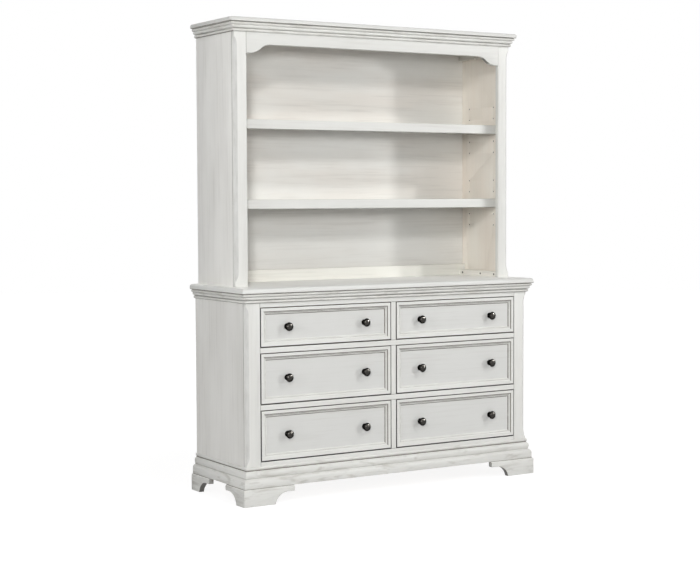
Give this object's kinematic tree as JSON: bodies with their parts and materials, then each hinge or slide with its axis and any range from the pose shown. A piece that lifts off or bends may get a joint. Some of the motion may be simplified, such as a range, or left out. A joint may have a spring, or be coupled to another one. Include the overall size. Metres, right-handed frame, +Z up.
{
  "type": "dresser with hutch",
  "caption": "Wide wooden chest of drawers on bracket feet, with an open shelved hutch under an arched rail standing on its top.",
  "frame": {"origin": "on the floor under the middle of the overall box", "axes": "+X to the right seen from the front, +Y from the drawer fronts to the back, +Z up"},
  "size_m": [1.444, 0.472, 1.937],
  "materials": {
    "brushed_white": "white paint brushed over grain, grey glaze in the grooves",
    "inner_wood": "plain sanded softwood",
    "dark_bronze": "dark oil-rubbed bronze",
    "plain_steel": "plain zinc-plated steel"
  },
  "bodies": {
    "case": {"dresser_top": "brushed_white", "top_moulding": "brushed_white", "case_side_left": "brushed_white", "case_side_right": "brushed_white", "front_post_left": "brushed_white", "front_post_right": "brushed_white", "face_rail_top": "brushed_white", "face_rail_bottom": "brushed_white", "face_mid_rails": "brushed_white", "centre_stiles": "brushed_white", "centre_partition": "inner_wood", "case_back": "inner_wood", "case_bottom": "inner_wood", "base_moulding": "brushed_white", "foot_front_left": "brushed_white", "foot_front_right": "brushed_white", "foot_rear_left": "brushed_white", "foot_rear_right": "brushed_white", "drawer_runners": "inner_wood", "drawer_guides": "inner_wood", "crown_top": "brushed_white", "crown_moulding": "brushed_white", "hutch_side_left": "brushed_white", "hutch_side_right": "brushed_white", "hutch_stile_left": "brushed_white", "hutch_stile_right": "brushed_white", "hutch_arch_rail": "brushed_white", "hutch_ceiling": "brushed_white", "hutch_back": "brushed_white", "hutch_rear_rail": "brushed_white", "shelf_pins": "plain_steel", "hutch_cleats": "brushed_white", "hutch_screws": "plain_steel"},
    "drawer_lower_left": {"drawer_lower_left_front": "brushed_white", "drawer_lower_left_box": "inner_wood", "drawer_lower_left_bottom": "inner_wood", "drawer_lower_left_knobs": "dark_bronze"},
    "drawer_lower_right": {"drawer_lower_right_front": "brushed_white", "drawer_lower_right_box": "inner_wood", "drawer_lower_right_bottom": "inner_wood", "drawer_lower_right_knobs": "dark_bronze"},
    "drawer_middle_left": {"drawer_middle_left_front": "brushed_white", "drawer_middle_left_box": "inner_wood", "drawer_middle_left_bottom": "inner_wood", "drawer_middle_left_knobs": "dark_bronze"},
    "drawer_middle_right": {"drawer_middle_right_front": "brushed_white", "drawer_middle_right_box": "inner_wood", "drawer_middle_right_bottom": "inner_wood", "drawer_middle_right_knobs": "dark_bronze"},
    "drawer_upper_left": {"drawer_upper_left_front": "brushed_white", "drawer_upper_left_box": "inner_wood", "drawer_upper_left_bottom": "inner_wood", "drawer_upper_left_knobs": "dark_bronze"},
    "drawer_upper_right": {"drawer_upper_right_front": "brushed_white", "drawer_upper_right_box": "inner_wood", "drawer_upper_right_bottom": "inner_wood", "drawer_upper_right_knobs": "dark_bronze"},
    "shelf_lower": {"hutch_shelf_lower": "brushed_white"},
    "shelf_upper": {"hutch_shelf_upper": "brushed_white"}
  },
  "joints": [
    {"name": "drawer_lower_left_slide", "type": "slide", "parent": "case", "child": "drawer_lower_left", "axis": [0, -1, 0], "range_m": [0, 0.31]},
    {"name": "drawer_lower_right_slide", "type": "slide", "parent": "case", "child": "drawer_lower_right", "axis": [0, -1, 0], "range_m": [0, 0.31]},
    {"name": "drawer_middle_left_slide", "type": "slide", "parent": "case", "child": "drawer_middle_left", "axis": [0, -1, 0], "range_m": [0, 0.31]},
    {"name": "drawer_middle_right_slide", "type": "slide", "parent": "case", "child": "drawer_middle_right", "axis": [0, -1, 0], "range_m": [0, 0.31]},
    {"name": "drawer_upper_left_slide", "type": "slide", "parent": "case", "child": "drawer_upper_left", "axis": [0, -1, 0], "range_m": [0, 0.31]},
    {"name": "drawer_upper_right_slide", "type": "slide", "parent": "case", "child": "drawer_upper_right", "axis": [0, -1, 0], "range_m": [0, 0.31]},
    {"name": "shelf_lower_lift", "type": "slide", "parent": "case", "child": "shelf_lower", "axis": [0, 0, 1], "range_m": [0, 0.04]},
    {"name": "shelf_upper_lift", "type": "slide", "parent": "case", "child": "shelf_upper", "axis": [0, 0, 1], "range_m": [0, 0.04]}
  ]
}
